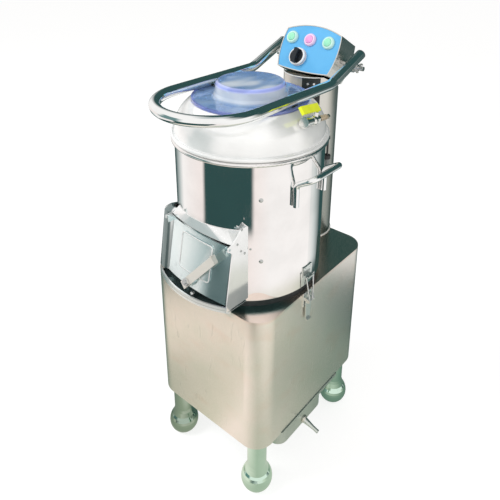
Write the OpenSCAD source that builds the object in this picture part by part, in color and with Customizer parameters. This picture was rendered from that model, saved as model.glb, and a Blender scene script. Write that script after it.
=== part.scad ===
// Electric potato peeler: a steel drum with a spinning abrasive disc stands on a
// cabinet that holds the motor. A column behind the drum carries the controls, and
// a tube loop lifts the clear lid. Millimetres, +Z up, the front faces -Y.

/* [Cabinet] */
// Width of the cabinet, left to right
cab_w = 320; // [300:1:345]
// Depth of the cabinet, front to back
cab_d = 400; // [390:1:410]
// Radius of the cabinet's upright corners
cab_r = 45; // [30:1:50]
// Height of the cabinet's bottom edge above the floor
cab_z0 = 154; // [150:1:156]
// Height of the cabinet's top above the floor
cab_z1 = 497; // [495:1:498]
// Thickness of the steel sheet
sheet = 2; // [1.5:0.1:2.5]

/* [Feet] */
// Radius of a foot's ball
foot_ball_r = 36; // [30:1:37]
// Radius of a foot's neck
foot_neck_r = 22; // [18:1:24]
// Distance from the cabinet's side to a foot's axis
foot_inset = 38; // [37:1:44]

/* [Drum] */
// Outer radius of the drum
drum_r = 157; // [155:1:158]
// Height of the drum's underside
drum_z0 = 514; // [513:1:515]
// Height of the drum's rolled rim
rim_z = 816; // [814:1:817]
// Radius over the rolled rim
rim_r = 164; // [162:1:165]
// Radius of the abrasive disc
disc_r = 147; // [140:1:148]
// Radius of the drive shaft, a running fit in its bearings
shaft_r = 12.5; // [12.45:0.01:12.5]

/* [Dome and lid] */
// Radius of the dome's shoulder curve
dome_r = 75; // [72:1:76]
// Radius of the mouth that the lid covers
mouth_r = 108; // [100:1:109]
// Radius of the clear lid's flange
lid_r = 120; // [118:1:122]
// Height of the lid's crown above its flange
crown_h = 31; // [20:1:34]

/* [Lift loop] */
// Radius of the loop's tube
tube_r = 11; // [9:0.5:11]
// Half the distance between the loop's legs
loop_x = 107; // [106:0.5:108]
// Height of the loop's level part
loop_z = 912; // [912:0.5:914]
// Rise of the loop's rear ends in degrees
loop_rise = 21; // [19:1:22]

/* [Controls] */
// Backward lean of the control panel in degrees
panel_lean = 28.5; // [27:0.5:30]
// Height of the panel's centre above the floor
panel_z = 956; // [955:1:958]
// Depth of the control head behind the panel
head_depth = 68.7; // [68:0.1:76]
// Radius of the column's round front
column_r = 64; // [60:1:65]
// Radius of a push button's bezel
bezel_r = 14.75; // [14:0.25:15]

/* [Discharge chute] */
// Turn of the chute about the drum, in degrees
chute_turn = -3; // [-4:0.5:0]
// Half the width of the chute between its cheeks
chute_hw = 103; // [101:1:104]
// Lean of the chute's door toward the drum in degrees
door_lean = 10.5; // [9:0.5:11]
// Radius of the door's curve, seen from above
door_curve = 380; // [360:10:460]

/* [Hidden] */

$fn = 64;
eps = 0.01;
cab_y = 16;
drum_y = -30;
wall = 2;
front_y = cab_y - cab_d / 2;
rear_y = cab_y + cab_d / 2;
column_y = rear_y - 30;
dome_z = 830;
dome_c = drum_r - dome_r;
shoulder_r = 121;
mouth_z = dome_z + sqrt(pow(dome_r, 2) - pow(shoulder_r - dome_c, 2));
lid_z = mouth_z + 3;
motor_y = 112;
pulley_z = 232;
big_pulley_r = 75;
small_pulley_r = 26;
gland_x = 98;
gland_z = 174;

// A rounded rectangle, centred, of true arcs.
module round_rect(w, d, r) {
    square([w - 2 * r, d], center = true);
    square([w, d - 2 * r], center = true);
    for (sx = [-1, 1], sy = [-1, 1])
        translate([sx * (w / 2 - r), sy * (d / 2 - r)]) circle(r);
}

// A slot with round ends, centred, its length along y.
module slot(w, l) {
    square([w, l - w], center = true);
    for (s = [-1, 1]) translate([0, s * (l - w) / 2]) circle(w / 2);
}

// A ring or tube standing on z.
module ring(r_out, r_in, z, h) {
    translate([0, 0, z]) difference() {
        cylinder(r = r_out, h = h);
        translate([0, 0, -1]) cylinder(r = r_in, h = h + 2);
    }
}

// Both sides of the machine alike.
module both_sides() {
    children();
    mirror([1, 0, 0]) children();
}

// ---------------------------------------------------------------- cabinet

module cabinet_shell() {
    color("Silver") difference() {
        translate([0, cab_y, cab_z0]) linear_extrude(cab_z1 - cab_z0)
            round_rect(cab_w, cab_d, cab_r);
        translate([0, cab_y, cab_z0 - 1]) linear_extrude(cab_z1 - cab_z0 - sheet + 1)
            round_rect(cab_w - 2 * sheet, cab_d - 2 * sheet, cab_r - sheet);
        // the way through for the shaft's housing and for the wiring
        translate([0, drum_y, cab_z1 - 10]) cylinder(r = 40, h = 20);
        translate([0, column_y, cab_z1 - 10]) cylinder(r = 18, h = 20);
        // the service opening behind the rear panel
        translate([0, rear_y, 320]) rotate([90, 0, 0])
            linear_extrude(20, center = true) round_rect(210, 230, 12);
        translate([gland_x, rear_y, gland_z]) rotate([90, 0, 0])
            cylinder(r = 10, h = 20, center = true);
    }
}

module base_plate() {
    color("Silver") difference() {
        translate([0, cab_y, cab_z0]) linear_extrude(4)
            round_rect(cab_w - 2 * sheet - 0.6, cab_d - 2 * sheet - 0.6, cab_r - sheet - 0.3);
        translate([0, drum_y, cab_z0 - 1]) cylinder(r = 30, h = 6);
        for (x = [-60 : 20 : 60]) translate([x, 150, cab_z0 - 1]) linear_extrude(6)
            slot(6, 50);
    }
}

module rear_panel() {
    color("LightGray") translate([0, rear_y + 1.5, 320]) rotate([90, 0, 0]) difference() {
        linear_extrude(1.5) round_rect(236, 256, 14);
        for (i = [-3 : 3]) translate([i * 16, -90, -1]) linear_extrude(4) slot(5, 34);
    }
}

module cover_screws() {
    color("White") for (x = [-111, 111], z = [202, 320, 438])
        translate([x, rear_y + 1.5, z]) rotate([-90, 0, 0]) cylinder(r = 4, h = 2.2);
    color("White") translate([0, column_y, 893]) for (a = [-62, -50]) rotate([0, 0, a])
        translate([column_r, 0, 0]) rotate([0, 90, 0]) cylinder(r = 2.6, h = 1.6);
}

// A polished foot: a neck that flares into a ball with a flat sole.
module foot() {
    sole = asin((foot_ball_r - 9) / foot_ball_r);
    translate([0, 0, 3]) rotate_extrude() polygon(concat(
        [[0, 0]],
        [for (a = [-sole : 10 : 48]) [foot_ball_r * cos(a), foot_ball_r * (sin(sole) + sin(a))]],
        [[foot_neck_r + 1.5, 62], [foot_neck_r, 70], [foot_neck_r, cab_z0 - 3], [0, cab_z0 - 3]]));
}

module at_feet() {
    for (sx = [-1, 1], sy = [-1, 1])
        translate([sx * (cab_w / 2 - foot_inset), cab_y + sy * (cab_d / 2 - foot_inset), 0])
            children();
}

module feet() {
    color("Silver") at_feet() foot();
}

module foot_pads() {
    color("DimGray") at_feet() cylinder(r = 20, h = 3);
}

// The sump under the base, with its flange along the right side.
module drain_pan() {
    color("Silver") difference() {
        union() {
            translate([10, 8, 146]) linear_extrude(cab_z0 - 146) round_rect(304, 236, 8);
            translate([38, -20, 105]) linear_extrude(42) round_rect(240, 176, 26);
        }
        pan_hollow();
        at_spout() translate([0, 0, -10]) cylinder(r = 3, h = 60);
        at_feet() cylinder(r = foot_neck_r + 1, h = 200);
    }
    drain_spout();
}

module pan_hollow() {
    translate([38, -20, 107]) linear_extrude(50) round_rect(236, 172, 24);
}

// Places a piece on the spout's axis, which leans down from the pan's right side.
module at_spout() {
    translate([156, -14, 113]) rotate([0, 105, 0]) children();
}

// The tapered spout with its straight end.
module drain_spout() {
    color("Silver") difference() {
        at_spout() {
            cylinder(r1 = 8, r2 = 4.5, h = 30);
            translate([0, 0, 30]) cylinder(r = 4.5, h = 15);
        }
        pan_hollow();
        at_spout() translate([0, 0, -10]) cylinder(r = 3, h = 60);
    }
}

// ---------------------------------------------------------------- chute frame

// Places a piece at the chute: -Y out of the drum, z from the floor.
module at_chute() {
    translate([0, drum_y, 0]) rotate([0, 0, chute_turn]) children();
}

door_y = -187.4;
door_z = 517;
door_mid = 15.5;
door_low = 19;
door_h = 140;
hinge_y = -165.5;
hinge_z = 658;

// Places a piece on the leaning door, with its own z along the door.
module at_door() {
    at_chute() translate([0, door_y, door_z]) rotate([-door_lean, 0, 0]) children();
}

// The band between two curves of the door's plan, from u0 to u1 across.
module door_band(u0, u1, t, out = 0) {
    intersection() {
        translate([door_mid, door_curve - out]) difference() {
            circle(door_curve, $fn = 200);
            circle(door_curve - t, $fn = 200);
        }
        translate([u0, -20]) square([u1 - u0, 60]);
    }
}

// The opening in the drum's wall that the door covers.
module outlet_window(grow = 0) {
    at_chute() translate([11, -100, 600]) rotate([90, 0, 0])
        linear_extrude(90) round_rect(154 + 2 * grow, 104 + 2 * grow, 14);
}

cheek_u = chute_hw;
cheek_in = -sqrt(pow(drum_r, 2) - pow(cheek_u, 2)) + 12;
door_left = -72;
door_right = cheek_u - 4;
tube_u = -96;
tube_y = -146.6;
tube_z = 524;
tube_h = 130;
tube_r_out = 26;

module drum_core(grow = 0.05) {
    translate([0, drum_y, 400]) cylinder(r = drum_r + grow, h = 500, $fn = 360);
}

// The roof's solid: from the curve of the door's top up to the drum's wall.
module roof_solid(drop = 0) {
    hull() {
        translate([0, 0, 677]) linear_extrude(1) intersection() {
            circle(drum_r + 1.5);
            translate([-66, -200]) square([66 + cheek_u + 0.5, 120]);
        }
        translate([0, 0, 660 - drop]) linear_extrude(1 + drop) intersection() {
            translate([door_mid, door_curve - 164]) circle(door_curve, $fn = 200);
            translate([-76, -200]) square([76 + cheek_u + 0.5, 100]);
        }
    }
}

// Places a piece on the leaning half round at the chute's left end.
module at_tube() {
    translate([tube_u, tube_y, tube_z]) rotate([-9, 0, 0]) children();
}

// The rounded shoulder that draws the left end in to its open top.
module tube_shoulder(inset) {
    hull() {
        translate([0, 0, tube_h - inset - 0.5]) cylinder(r = tube_r_out - inset, h = 0.5);
        translate([4, 1, tube_h + 5 - inset]) cylinder(r = 23.5 - inset, h = 0.5);
        translate([8, 3, tube_h + 9 - inset]) cylinder(r = 19 - inset, h = 0.5);
    }
}

// Right cheek, round left end with its open top, roof and the door's hinge lugs.
module outlet_frame() {
    color("Silver") difference() {
        at_chute() {
            translate([cheek_u + 2.5, 0, 0]) rotate([90, 0, -90]) linear_extrude(2.5) {
                polygon([[-cheek_in, 522], [177.5, 522], [158.5, 645], [-hinge_y, 652.5],
                    [-hinge_y, 663.5], [157, 666], [144, 678], [136, 687], [-cheek_in, 687]]);
                translate([-hinge_y, hinge_z]) circle(5.5);
            }
            difference() {
                union() {
                    at_tube() cylinder(r = tube_r_out, h = tube_h);
                    at_tube() tube_shoulder(0);
                    roof_solid();
                }
                translate([0, 2.6, -2.2]) roof_solid(20);
                at_tube() translate([0, 0, -1]) cylinder(r = tube_r_out - 2.5, h = tube_h + 1);
                at_tube() tube_shoulder(2.5);
                at_tube() translate([10, 4, tube_h - 1]) cylinder(r = 16.5, h = 40);
            }
            // the lug that carries the door's left end
            translate([door_left - 7, hinge_y - 4.5, hinge_z - 4]) cube([3, 28, 8]);
        }
        drum_core();
        at_chute() translate([-130, hinge_y, hinge_z]) rotate([0, 90, 0]) cylinder(r = 2.6, h = 260);
    }
}

lip_r = 210;
lip_u = -6;
stud_u = 15;
stud_v = -185;

// The lip's plan, drawn smaller by inset.
module lip_plan(inset) {
    intersection() {
        translate([lip_u, 14]) circle(lip_r - inset, $fn = 200);
        translate([-104, -220]) square([103.7 + cheek_u, 140]);
    }
}

// Floor of the chute with its curved, upstanding lip over the cabinet's front.
module outlet_tray() {
    color("Silver") difference() {
        at_chute() {
            translate([0, 0, 514]) linear_extrude(2) lip_plan(1);
            translate([0, 0, 510]) linear_extrude(13) difference() {
                lip_plan(0);
                translate([lip_u, 14]) circle(lip_r - 3, $fn = 200);
            }
        }
        drum_core();
        at_chute() translate([stud_u, stud_v, 490]) cylinder(r = 3.05, h = 60);
    }
}

// The stud through the floor with its nut and its acorn nut.
module latch_stud() {
    color("Gainsboro") at_chute() translate([stud_u, stud_v, 0]) {
        translate([0, 0, 510.5]) cylinder(r = 5, h = 3.4);
        translate([0, 0, 513]) cylinder(r = 3, h = 10);
        translate([0, 0, 516.1]) cylinder(r = 5, h = 3.6, $fn = 6);
        translate([0, 0, 520.5]) cylinder(r = 5, h = 3, $fn = 6);
        translate([0, 0, 523.5]) sphere(4.6);
    }
}

pivot_u = 9;
pivot_w = 35;

// The curved door with its stiff top and lower edges and its raised field.
module outlet_door() {
    color("Silver") difference() {
        at_door() union() {
            translate([0, 0, door_low]) linear_extrude(door_h - door_low)
                door_band(door_left, door_right, 3);
            translate([0, 0, door_low]) linear_extrude(5) door_band(door_left, door_right, 8);
            translate([0, 0, 50]) linear_extrude(77) door_band(-31, 57, 5, 2.2);
            for (u = [door_left, door_right - 3]) translate([0, 0, door_low + 4])
                linear_extrude(door_h - door_low - 10) door_band(u, u + 3, 9);
            translate([0, 0, door_h - 6]) linear_extrude(6) door_band(door_left, door_right, 4.5, 1.5);
            // raised pad that the lever turns on
            translate([pivot_u, 5, pivot_w]) rotate([90, 0, 0]) cylinder(r = 11, h = 12);
        }
        at_door() translate([pivot_u, 20, pivot_w]) rotate([90, 0, 0]) cylinder(r = 5.05, h = 60);
    }
    // the ears above the door's ends and the trunnions that turn in the frame
    color("Silver") at_chute() {
        for (u = [door_left, door_right - 3]) {
            translate([u, hinge_y, hinge_z]) rotate([0, 90, 0]) cylinder(r = 4.2, h = 3);
            translate([u, hinge_y - 4.2, hinge_z - 10]) cube([3, 18, 9.8]);
        }
        translate([door_left - 7, hinge_y, hinge_z]) rotate([0, 90, 0]) cylinder(r = 2.5, h = 8);
        translate([door_right - 1, hinge_y, hinge_z]) rotate([0, 90, 0]) cylinder(r = 2.5, h = 7.5);
    }
}

module door_gasket() {
    color("DimGray") at_door() translate([0, 0, door_low + 6]) linear_extrude(6) {
        door_band(door_left + 4, pivot_u - 13, 2.5, -3.2);
        door_band(pivot_u + 13, door_right - 4, 2.5, -3.2);
    }
}

// The flat door lever with a short tail beyond its bolt and a folded end.
module door_lever() {
    color("Gainsboro") at_door() translate([pivot_u, -8, pivot_w]) rotate([90, 0, 0])
        rotate([0, 0, 49.5]) difference() {
            union() {
                linear_extrude(4) translate([-18, -8.5]) square([124, 17]);
                translate([103, -8.5, 0]) cube([3, 17, 11]);
            }
            translate([0, 0, -1]) cylinder(r = 5.05, h = 20);
        }
}

module lever_bolt() {
    color("Gainsboro") at_door() translate([pivot_u, 3, pivot_w]) rotate([90, 0, 0]) union() {
        translate([0, 0, -6]) cylinder(r = 5, h = 24);
        translate([0, 0, 15.5]) cylinder(r = 8.5, h = 5, $fn = 6);
        translate([0, 0, 20.5]) cylinder(r = 4, h = 4);
    }
}

// ---------------------------------------------------------------- drum

module drum() {
    color("Silver") difference() {
        translate([0, drum_y, 0]) union() {
            ring(drum_r, drum_r - wall, drum_z0, rim_z - drum_z0 + 4, $fn = 128);
            ring(drum_r - wall + eps, 34.3, drum_z0, 3);
            rotate_extrude($fn = 128) translate([rim_r - 4.4, rim_z]) circle(4.4, $fn = 32);
        }
        outlet_window();
        // holes of the peel drain in the floor
        for (a = [200 : 20 : 340]) translate([0, drum_y, drum_z0 - 1]) rotate([0, 0, a])
            translate([134, 0, 0]) cylinder(r = 5, h = 6);
    }
}

module drum_gasket() {
    color("DimGray") translate([0, drum_y, 0])
        ring(152, 136, cab_z1, drum_z0 - cab_z1, $fn = 128);
}

module abrasive_liner() {
    color("DarkSlateGray") difference() {
        translate([0, drum_y, 0]) ring(drum_r - wall - 0.2, drum_r - wall - 3.2, 520, 270, $fn = 128);
        outlet_window(1);
    }
}

// The spinning disc: rounded waves on top, sweeping vanes below.
module abrasive_disc() {
    color("SlateGray") translate([0, drum_y, 0]) difference() {
        union() {
            translate([0, 0, 530]) cylinder(r = disc_r, h = 10, $fn = 128);
            for (a = [0 : 60 : 300]) rotate([0, 0, a]) intersection() {
                translate([28, 0, 534]) rotate([0, 90, 0]) cylinder(r = 12, h = 116);
                translate([0, 0, 538]) cylinder(r = disc_r - 4, h = 20);
            }
            translate([0, 0, 524]) cylinder(r = 26, h = 24);
            for (a = [20 : 120 : 260]) rotate([0, 0, a]) translate([50, -2, 522]) cube([80, 4, 9]);
        }
        translate([0, 0, 500]) cylinder(r = shaft_r, h = 60);
    }
}

module disc_nut() {
    color("Gainsboro") translate([0, drum_y, 0]) {
        difference() {
            translate([0, 0, 548]) cylinder(r = 17, h = 12, $fn = 6);
            translate([0, 0, 547]) cylinder(r = 9, h = 10);
        }
        translate([0, 0, 560]) intersection() {
            sphere(11);
            cylinder(r = 20, h = 20);
        }
    }
}

module drive_shaft() {
    color("Gainsboro") translate([0, drum_y, 0]) {
        translate([0, 0, 218]) cylinder(r = shaft_r, h = 330);
        translate([0, 0, 548]) cylinder(r = 9, h = 9);
    }
}

module bearing_housing() {
    color("DimGray") translate([0, drum_y, 0]) difference() {
        union() {
            translate([0, 0, 300]) cylinder(r = 34, h = 219);
            translate([0, 0, cab_z1 - sheet - 10]) cylinder(r = 74, h = 10);
        }
        translate([0, 0, 290]) cylinder(r = 26, h = 240);
        for (a = [30 : 60 : 330]) rotate([0, 0, a]) translate([62, 0, 480]) cylinder(r = 4, h = 20);
    }
}

module shaft_bearings() {
    color("Gainsboro") translate([0, drum_y, 0]) {
        ring(26, shaft_r + 0.05, 301, 15);
        ring(26, shaft_r + 0.05, 489, 15);
    }
}

module shaft_seal() {
    color("DimGray") translate([0, drum_y, 0]) ring(26, shaft_r + 0.05, 505, 9);
}

// ---------------------------------------------------------------- drive

// A two-groove V pulley on z, with its bore.
module vee_pulley(r, bore, web) {
    difference() {
        rotate_extrude(convexity = 6) polygon([[bore, 0], [r, 0], [r, 2], [r - 9, 5], [r - 9, 12],
            [r, 15], [r, 17], [r - 9, 20], [r - 9, 27], [r, 30], [r, 32], [bore, 32]]);
        if (web > 0) for (a = [0 : 60 : 300]) rotate([0, 0, a]) translate([web, 0, -1])
            cylinder(r = 12, h = 40);
    }
}

module driven_pulley() {
    color("DimGray") translate([0, drum_y, pulley_z]) vee_pulley(big_pulley_r, shaft_r, 42);
}

module motor_pulley() {
    color("DimGray") translate([0, motor_y, 0]) {
        translate([0, 0, pulley_z]) vee_pulley(small_pulley_r, 9, 0);
        translate([0, 0, pulley_z - 2]) cylinder(r = 9, h = 56);
    }
}

// The outline of a belt round both pulleys, as points on its two arcs.
function belt_points(r1, r2) =
    let (run = motor_y - drum_y, a = asin((r1 - r2) / run))
    concat([for (t = [180 - a : (180 + 2 * a) / 40 : 360 + a + eps]) [r1 * cos(t), r1 * sin(t)]],
        [for (t = [a : (180 - 2 * a) / 16 : 180 - a + eps]) [r2 * cos(t), run + r2 * sin(t)]]);

module drive_belt() {
    big = big_pulley_r - 9 + 0.5;
    small = small_pulley_r - 9 + 0.5;
    color("DimGray") for (z = [5.5, 20.5]) translate([0, drum_y, pulley_z + z])
        linear_extrude(6) difference() {
            polygon(belt_points(big + 7, small + 7));
            polygon(belt_points(big, small));
        }
}

module motor() {
    color("SteelBlue") translate([0, motor_y, 0]) difference() {
        union() {
            translate([0, 0, 284]) cylinder(r = 58, h = 150);
            for (a = [0 : 15 : 345]) rotate([0, 0, a]) translate([57, -1.5, 300]) cube([6, 3, 118]);
            translate([0, 0, 434]) cylinder(r = 46, h = 10);
            translate([44, -22, 340]) cube([34, 44, 60]);
        }
        translate([0, 0, 270]) cylinder(r = 9.1, h = 40);
    }
}

// The plate that hangs the motor from the cabinet's top, with slots to tension the belt.
module motor_bracket() {
    color("DimGray") difference() {
        union() {
            translate([-85, motor_y - 52, 445]) cube([170, 104, 6]);
            for (sx = [-1, 1], y = [-42, 42]) translate([sx * 75, motor_y + y, 450])
                cylinder(r = 8, h = cab_z1 - sheet - 450);
        }
        for (sx = [-1, 1], y = [-22, 22]) translate([sx * 38, motor_y + y, 440])
            linear_extrude(20) slot(9, 22);
    }
}

module cable_gland() {
    color("DimGray") translate([gland_x, rear_y, gland_z]) rotate([-90, 0, 0]) difference() {
        union() {
            translate([0, 0, -12]) cylinder(r = 9.8, h = 14);
            cylinder(r = 15, h = 6, $fn = 6);
            translate([0, 0, 6]) cylinder(r = 12.5, h = 12);
            translate([0, 0, -8]) cylinder(r = 14, h = 5.8, $fn = 6);
        }
        translate([0, 0, -20]) cylinder(r = 4.5, h = 60);
    }
}

// ---------------------------------------------------------------- dome, lid and loop

// The cover's section: a beaded foot, a round shoulder and a flat seat for the lid.
module dome_section() {
    intersection() {
        translate([dome_c, dome_z]) difference() {
            circle(dome_r, $fn = 128);
            circle(dome_r - wall, $fn = 128);
        }
        translate([shoulder_r, dome_z]) square([60, 80]);
    }
    translate([drum_r - wall, rim_z + 6]) square([wall, dome_z - rim_z - 6]);
    translate([rim_r - 4.2, rim_z + 9.2]) circle(4.2, $fn = 32);
    translate([mouth_r, mouth_z - wall]) square([shoulder_r - mouth_r + 0.5, wall]);
    translate([mouth_r, mouth_z - 10]) square([wall, 9]);
}

module dome_cover() {
    color("Silver") translate([0, drum_y, 0]) difference() {
        rotate_extrude($fn = 128) dome_section();
        // the way in for the water
        translate([0, -drum_y, 0]) at_inlet() cylinder(r = 7, h = 30);
    }
}

module mouth_seal() {
    color("DimGray") translate([0, drum_y, 0]) ring(lid_r - 5, mouth_r + 2, mouth_z, 2.4, $fn = 128);
}

// The clear lid: a flange with a short skirt, a coved crown and a flat top.
module clear_lid() {
    t = 3;
    crown = lid_z + t + crown_h;
    color("LightSteelBlue", 0.6) translate([0, drum_y, 0]) rotate_extrude($fn = 128) difference() {
        union() {
            translate([0, lid_z]) square([lid_r - 3, t]);
            translate([lid_r - 3, lid_z - 2]) square([3, t + 2]);
            translate([0, lid_z]) polygon([[0, 0], [80, 0], [80, t], [76, t + 3], [73, t + 10],
                [72, t + crown_h - 8], [70, t + crown_h - 3], [66, t + crown_h], [0, t + crown_h]]);
        }
        translate([0, lid_z - 1]) polygon([[0, 0], [76, 0], [72, t + 3], [70, t + 10],
            [69, t + crown_h - 10], [67, t + crown_h - 5], [64, t + crown_h - 2], [0, t + crown_h - 2]]);
    }
}

loop_front = drum_y - 109;
bend_r = 60;
bend_y = 91;
rise_len = 112;

// The loop's path: a half round front, two level legs and two rising ends.
module loop_solid(r) {
    translate([0, loop_front, loop_z]) rotate([0, 0, 180]) rotate_extrude(angle = 180, $fn = 96)
        translate([loop_x, 0]) circle(r, $fn = 32);
    both_sides() translate([loop_x, 0, loop_z]) {
        translate([0, loop_front, 0]) rotate([-90, 0, 0])
            cylinder(r = r, h = bend_y - loop_front, $fn = 32);
        translate([0, bend_y, bend_r]) rotate([0, 90, 0]) rotate_extrude(angle = loop_rise, $fn = 96)
            translate([bend_r, 0]) circle(r, $fn = 32);
        translate([0, bend_y, bend_r]) rotate([loop_rise, 0, 0]) translate([0, 0, -bend_r])
            rotate([-90, 0, 0]) cylinder(r = r, h = rise_len, $fn = 32);
    }
}

// Places a piece on a rear end of the loop, z along the tube to its cut end.
module at_loop_end() {
    both_sides() translate([loop_x, bend_y, loop_z + bend_r]) rotate([loop_rise, 0, 0])
        translate([0, rise_len, -bend_r]) rotate([-90, 0, 0]) children();
}

pivot_y = 213;
pivot_z = 926;
stud_x = 77.6;

module lift_loop() {
    color("Silver") difference() {
        union() {
            loop_solid(tube_r);
            // the flat lugs that hang below the tube and turn on the studs
            both_sides() difference() {
                union() {
                    translate([92, pivot_y, pivot_z]) rotate([0, 90, 0]) cylinder(r = 12, h = 4);
                    translate([92, pivot_y - 12, pivot_z]) cube([4, 24, 26]);
                    translate([92, pivot_y - 12, pivot_z + 18]) cube([12, 24, 8]);
                }
                translate([90, pivot_y, pivot_z]) rotate([0, 90, 0]) cylinder(r = 5.06, h = 10);
            }
        }
        at_loop_end() translate([0, 0, -30]) cylinder(r = 9.1, h = 31);
        at_loop_end() translate([0, 0, 0.02]) cylinder(r = tube_r + 0.5, h = 8);
    }
}

module loop_end_caps() {
    color("DimGray") at_loop_end() {
        translate([0, 0, -14]) cylinder(r = 9, h = 14.1);
        translate([0, 0, 0.05]) cylinder(r = tube_r, h = 1.45);
    }
}

module lid_brackets() {
    color("Gainsboro") both_sides() {
        translate([84, drum_y - 10, lid_z + 3]) cube([32, 20, loop_z - tube_r - lid_z - 3]);
        for (y = [-5, 5]) translate([89, drum_y + y, loop_z - tube_r]) cylinder(r = 3, h = 2);
    }
}

module pivot_studs() {
    color("Gainsboro") both_sides() {
        translate([stud_x, pivot_y, pivot_z]) rotate([0, 90, 0]) cylinder(r = 5, h = 42);
        translate([stud_x, pivot_y, pivot_z]) rotate([0, 90, 0]) cylinder(r = 11, h = 14);
    }
}

// One wing nut on the X axis, with its washer face at x = 0.
module wing_nut() {
    difference() {
        union() {
            rotate([0, 90, 0]) cylinder(r = 10, h = 1.6);
            translate([1.6, 0, 0]) rotate([0, 90, 0]) cylinder(r1 = 8.5, r2 = 7, h = 9);
            for (a = [35, 215]) rotate([a, 0, 0]) translate([2.5, 4, -1.8]) {
                linear_extrude(3.6) polygon([[0, 0], [8, 0], [13, 6], [13, 8], [11, 9.5], [8, 9], [5, 6]]);
            }
        }
        translate([-1, 0, 0]) rotate([0, 90, 0]) cylinder(r = 5.06, h = 30);
    }
}

module wing_nut_right() {
    color("Gainsboro") translate([96.5, pivot_y, pivot_z]) wing_nut();
}

module wing_nut_left() {
    color("Gainsboro") mirror([1, 0, 0]) translate([96.5, pivot_y, pivot_z]) wing_nut();
}

// ---------------------------------------------------------------- column and head

// Places a piece on the panel: x right, y up the panel, z out of its face.
module at_panel() {
    translate([0, 168, panel_z]) rotate([90 - panel_lean, 0, 0]) children();
}

// One side of the head's outline as an arc from p to q that bulges by s.
function arc(p, q, s, n = 10) =
    let (c = (p + q) / 2, d = (q - p) / 2, l = norm(d), r = (l * l + s * s) / (2 * s),
        nrm = [d[1], -d[0]] / l, o = c - nrm * (r - s), h = asin(l / r))
    [for (i = [0 : n - 1]) let (a = -h + 2 * h * i / n)
        o + r * (nrm * cos(a) + d / l * sin(a))];

// The barrel outline of the head, drawn smaller by inset.
module head_outline(inset = 0) {
    t = 73.5 - inset;
    b = 69 - inset;
    y1 = 46 - inset;
    y0 = -46 + inset;
    polygon(concat(arc([t, y1], [-t, y1], 14), arc([-t, y1], [-b, y0], 6),
        arc([-b, y0], [b, y0], 4), arc([b, y0], [t, y1], 6)));
}

// The head's own box, sunk by the clearance, which the column stops short of.
module head_space(gap) {
    at_panel() translate([-100, -50 - gap, -head_depth - 20]) cube([200, 110, head_depth + 20 + gap]);
}

// A round-fronted column, open at the back under the head, with a cap in its mouth.
module column() {
    color("DarkGray") difference() {
        translate([0, 0, cab_z1]) linear_extrude(410) intersection() {
            difference() {
                translate([0, column_y]) circle(column_r, $fn = 128);
                difference() {
                    translate([0, column_y]) circle(column_r - sheet, $fn = 128);
                    translate([-100, rear_y - sheet]) square([200, 100]);
                }
            }
            translate([-100, rear_y - 200]) square([200, 200]);
        }
        head_space(0.3);
        // room for the drum, its rim and the dome in front
        translate([0, drum_y, cab_z1 - 1]) cylinder(r = drum_r + 0.3, h = 360, $fn = 128);
        translate([0, drum_y, rim_z - 8]) cylinder(r = rim_r + 0.5, h = 34, $fn = 128);
        translate([0, rear_y, 640]) rotate([90, 0, 0]) linear_extrude(20, center = true)
            round_rect(70, 200, 8);
    }
    color("Silver") difference() {
        translate([0, 0, 902]) linear_extrude(3) intersection() {
            translate([0, column_y]) circle(column_r - sheet + eps);
            translate([-100, 58]) square([200, 100]);
        }
        head_space(1.5);
    }
}

// The flat cover over the column's service opening.
module column_cover() {
    color("LightGray") translate([0, rear_y + 1.5, 640]) rotate([90, 0, 0]) linear_extrude(1.5)
        round_rect(84, 214, 10);
}

module head_shell() {
    color("Silver") at_panel() translate([0, 0, -head_depth]) difference() {
        linear_extrude(head_depth) head_outline();
        translate([0, 0, 2]) linear_extrude(head_depth) head_outline(2);
        // the cable way down into the column
        translate([0, -50, head_depth - 44]) rotate([90, 0, 0]) cylinder(r = 15, h = 30, center = true);
        translate([0, 0, -1]) linear_extrude(4) round_rect(90, 50, 6);
    }
}

module head_rear_cover() {
    color("LightGray") at_panel() translate([0, 0, -head_depth - 1.5]) {
        linear_extrude(1.5) round_rect(104, 64, 8);
        for (sx = [-1, 1], sy = [-1, 1]) translate([sx * 46, sy * 26, -0.7]) cylinder(r = 3, h = 0.7);
    }
}

button_x = [-52, -3, 46];
button_up = 25;
knob_x = -20;
knob_up = -18;

module front_panel() {
    color("DeepSkyBlue") at_panel() difference() {
        translate([0, 0, -3.5]) linear_extrude(2.5) head_outline(2.1);
        for (x = button_x) translate([x, button_up, -10]) cylinder(r = 11, h = 20);
        translate([knob_x, knob_up, -10]) cylinder(r = 5.2, h = 20);
    }
}

// Bezels with their contact blocks behind the panel.
module button_bezels() {
    color("WhiteSmoke") at_panel() for (x = button_x) translate([x, button_up, 0]) difference() {
        union() {
            translate([0, 0, -1]) cylinder(r = bezel_r, h = 4);
            translate([0, 0, 3]) cylinder(r1 = bezel_r, r2 = 12.6, h = 3);
            translate([0, 0, -26]) cylinder(r = 10.9, h = 25.5);
            translate([-13, -11, -50]) cube([26, 22, 25]);
        }
        translate([0, 0, -10]) cylinder(r = 9.6, h = 30);
        translate([0, 0, -20]) cylinder(r = 4.4, h = 30);
    }
}

// A push button: a low domed cap on its stem.
module push_button(i) {
    at_panel() translate([button_x[i], button_up, 0]) {
        translate([0, 0, -4]) cylinder(r = 9.1, h = 11);
        translate([0, 0, -14]) cylinder(r = 3.9, h = 10.5);
        translate([0, 0, 7 - eps]) intersection() {
            translate([0, 0, -24]) sphere(25.7);
            cylinder(r = 9.1, h = 5);
        }
    }
}

module button_start() {
    color("MediumSpringGreen") push_button(0);
}

module button_stop() {
    color("Violet") push_button(1);
}

module button_drain() {
    color("MediumSpringGreen") push_button(2);
}

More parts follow.
